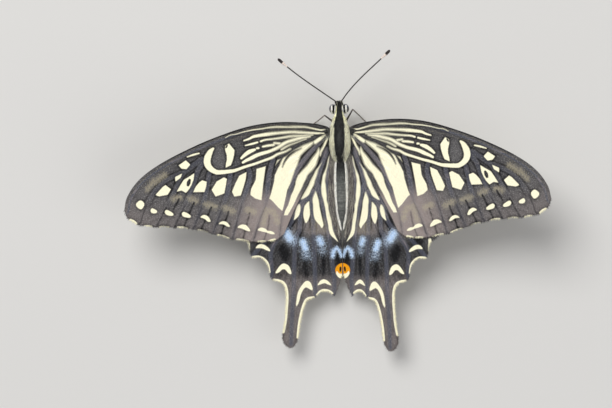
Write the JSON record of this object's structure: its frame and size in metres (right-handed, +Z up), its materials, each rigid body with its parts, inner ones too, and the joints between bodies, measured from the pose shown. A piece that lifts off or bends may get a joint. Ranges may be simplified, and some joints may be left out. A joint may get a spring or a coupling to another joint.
{
  "type": "swallowtail butterfly",
  "caption": "Life-size swallowtail butterfly standing with its wings spread in a shallow V, each hindwing ending in a slender tail, with clubbed feelers and flat-footed legs.",
  "frame": {"origin": "centre of the bounding box's underside, at floor level, under the butterfly's abdomen", "axes": "+X towards the butterfly's left wing tip, +Y towards the tails so the head faces -Y, +Z up"},
  "size_m": [0.088, 0.0618, 0.0185],
  "materials": {
    "wing_scales": "matt dusty scales: cream spots and streaks on grey-brown, with blue and orange marks on the hindwings",
    "body_hair": "matt hair, black along the back and pale yellow on the sides",
    "eye": "smooth gloss",
    "dark_cuticle": "satin black",
    "pale_leg_scales": "matt pale scales"
  },
  "bodies": {
    "root": {"head": "body_hair", "neck": "body_hair", "thorax": "body_hair", "abdomen": "body_hair", "eye_left": "eye", "eye_right": "eye", "palp_left": "body_hair", "palp_right": "body_hair", "proboscis": "dark_cuticle", "antenna_left": "dark_cuticle", "antenna_right": "dark_cuticle", "forewing_left": "wing_scales", "forewing_right": "wing_scales", "hindwing_left": "wing_scales", "hindwing_right": "wing_scales", "femur_fore_left": "dark_cuticle", "tibia_fore_left": "dark_cuticle", "tarsus_fore_left": "pale_leg_scales", "femur_fore_right": "dark_cuticle", "tibia_fore_right": "dark_cuticle", "tarsus_fore_right": "pale_leg_scales", "femur_mid_left": "dark_cuticle", "tibia_mid_left": "dark_cuticle", "tarsus_mid_left": "pale_leg_scales", "femur_mid_right": "dark_cuticle", "tibia_mid_right": "dark_cuticle", "tarsus_mid_right": "pale_leg_scales", "femur_hind_left": "dark_cuticle", "tibia_hind_left": "dark_cuticle", "tarsus_hind_left": "pale_leg_scales", "femur_hind_right": "dark_cuticle", "tibia_hind_right": "dark_cuticle", "tarsus_hind_right": "pale_leg_scales"}
  },
  "joints": []
}
